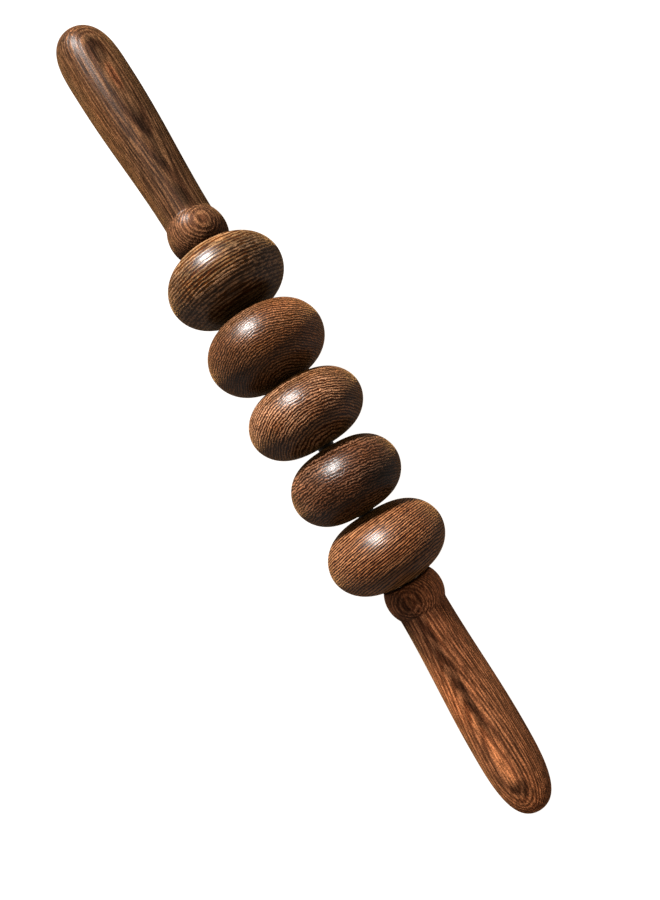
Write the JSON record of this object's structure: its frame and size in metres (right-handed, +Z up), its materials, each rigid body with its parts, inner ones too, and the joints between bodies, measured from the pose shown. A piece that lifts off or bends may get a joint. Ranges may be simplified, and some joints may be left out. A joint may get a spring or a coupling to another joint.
{
  "type": "wooden roller massager",
  "caption": "Hand-held massage stick: dark, strongly grained wooden rollers spin on a steel axle between two turned wooden handles with ball-shaped collars.",
  "frame": {"origin": "on the axle's centre line, halfway between the two handle tips", "axes": "+X along the axle from the left handle to the right handle, +Z up, -Y towards the side that the handle tips bow to"},
  "size_m": [0.4118, 0.0576, 0.0576],
  "materials": {
    "handle_wood": "satin oiled wenge, fine dark and tan grain along the handle",
    "roller_wood_1": "gloss lacquer over dark brown wenge with tan streaks",
    "roller_wood_2": "gloss lacquer over reddish brown wenge with fine arcs",
    "roller_wood_3": "gloss lacquer over mid-brown wenge with tan and dark streaks",
    "roller_wood_4": "gloss lacquer over very dark wenge with short broken figure",
    "roller_wood_5": "gloss lacquer over orange-brown wenge with strong straight streaks",
    "axle_steel": "drawn steel rod",
    "insert_brass": "turned brass"
  },
  "bodies": {
    "handles": {"handle_left": "handle_wood", "handle_right": "handle_wood", "axle_rod": "axle_steel", "threaded_insert_left": "insert_brass", "threaded_insert_right": "insert_brass"},
    "roller_1_body": {"roller_1": "roller_wood_1"},
    "roller_2_body": {"roller_2": "roller_wood_2"},
    "roller_3_body": {"roller_3": "roller_wood_3"},
    "roller_4_body": {"roller_4": "roller_wood_4"},
    "roller_5_body": {"roller_5": "roller_wood_5"}
  },
  "joints": [
    {"name": "roller_1_spin", "type": "hinge", "parent": "handles", "child": "roller_1_body", "pos_m": [0, 0, 0], "axis": [1, 0, 0], "continuous": true},
    {"name": "roller_2_spin", "type": "hinge", "parent": "handles", "child": "roller_2_body", "pos_m": [0, 0, 0], "axis": [1, 0, 0], "continuous": true},
    {"name": "roller_3_spin", "type": "hinge", "parent": "handles", "child": "roller_3_body", "pos_m": [0, 0, 0], "axis": [1, 0, 0], "continuous": true},
    {"name": "roller_4_spin", "type": "hinge", "parent": "handles", "child": "roller_4_body", "pos_m": [0, 0, 0], "axis": [1, 0, 0], "continuous": true},
    {"name": "roller_5_spin", "type": "hinge", "parent": "handles", "child": "roller_5_body", "pos_m": [0, 0, 0], "axis": [1, 0, 0], "continuous": true}
  ]
}
